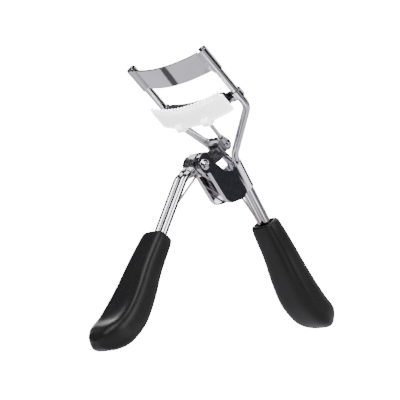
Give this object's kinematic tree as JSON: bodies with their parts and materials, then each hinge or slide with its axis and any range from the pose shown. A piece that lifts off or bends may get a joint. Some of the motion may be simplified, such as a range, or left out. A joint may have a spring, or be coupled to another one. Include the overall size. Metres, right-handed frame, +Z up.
{
  "type": "eyelash curler",
  "caption": "Hand-held eyelash curler: a curved top jaw on twin guide rods, a sliding padded jaw with a lash comb, and two sprung handles with soft grips.",
  "frame": {"origin": "centre of the bounding box's bottom face, on the ground between the two grip tips", "axes": "+X across the jaws and parallel to the pivots, +Y away from the jaws and the moving handle, towards the fixed grip, +Z up, with the curler standing on both grip tips"},
  "size_m": [0.034, 0.0941, 0.0831],
  "materials": {
    "chrome": "polished",
    "dark_chrome": "polished, dark reflections",
    "spring_steel": "drawn wire",
    "grip_black": "soft matte",
    "pad_black": "satin",
    "comb_white": "smooth, slightly translucent"
  },
  "bodies": {
    "frame": {"frame_wire_left": "chrome", "frame_wire_right": "chrome", "upper_jaw_plate": "chrome", "pivot_bracket": "chrome", "pivot_screw": "chrome", "pivot_nut": "chrome", "pivot_sleeve": "dark_chrome", "pivot_washer_left": "dark_chrome", "pivot_washer_right": "dark_chrome", "torsion_spring": "spring_steel", "fixed_grip": "grip_black"},
    "moving_handle": {"crank_lever": "dark_chrome", "handle_wire_left": "chrome", "handle_wire_right": "chrome", "moving_grip": "grip_black", "crank_pin": "dark_chrome"},
    "push_fork": {"fork_yoke": "chrome", "fork_wire_left": "chrome", "fork_wire_right": "chrome"},
    "lower_jaw": {"jaw_carrier": "chrome", "silicone_pad": "pad_black", "lash_comb": "comb_white"}
  },
  "joints": [
    {"name": "handle_pivot", "type": "hinge", "parent": "frame", "child": "moving_handle", "pos_m": [0, -0.00194, 0.05068], "axis": [1, 0, 0], "range_deg": [0, 36], "stiffness_Nm_per_rad": 0.05, "springref_deg": -20.05, "deforming": ["torsion_spring"]},
    {"name": "fork_pivot", "type": "hinge", "parent": "moving_handle", "child": "push_fork", "pos_m": [0, 0.0086, 0.05673], "axis": [1, 0, 0], "range_deg": [-36.5, 0.5]},
    {"name": "jaw_slide", "type": "slide", "parent": "frame", "child": "lower_jaw", "axis": [0, -0.7145, 0.6997], "range_m": [-0.0001, 0.0074]}
  ],
  "couplings": [
    {"joint": "jaw_slide", "follows": "handle_pivot", "m_per_rad": 0.01162},
    {"joint": "fork_pivot", "follows": "handle_pivot", "ratio": -1}
  ]
}
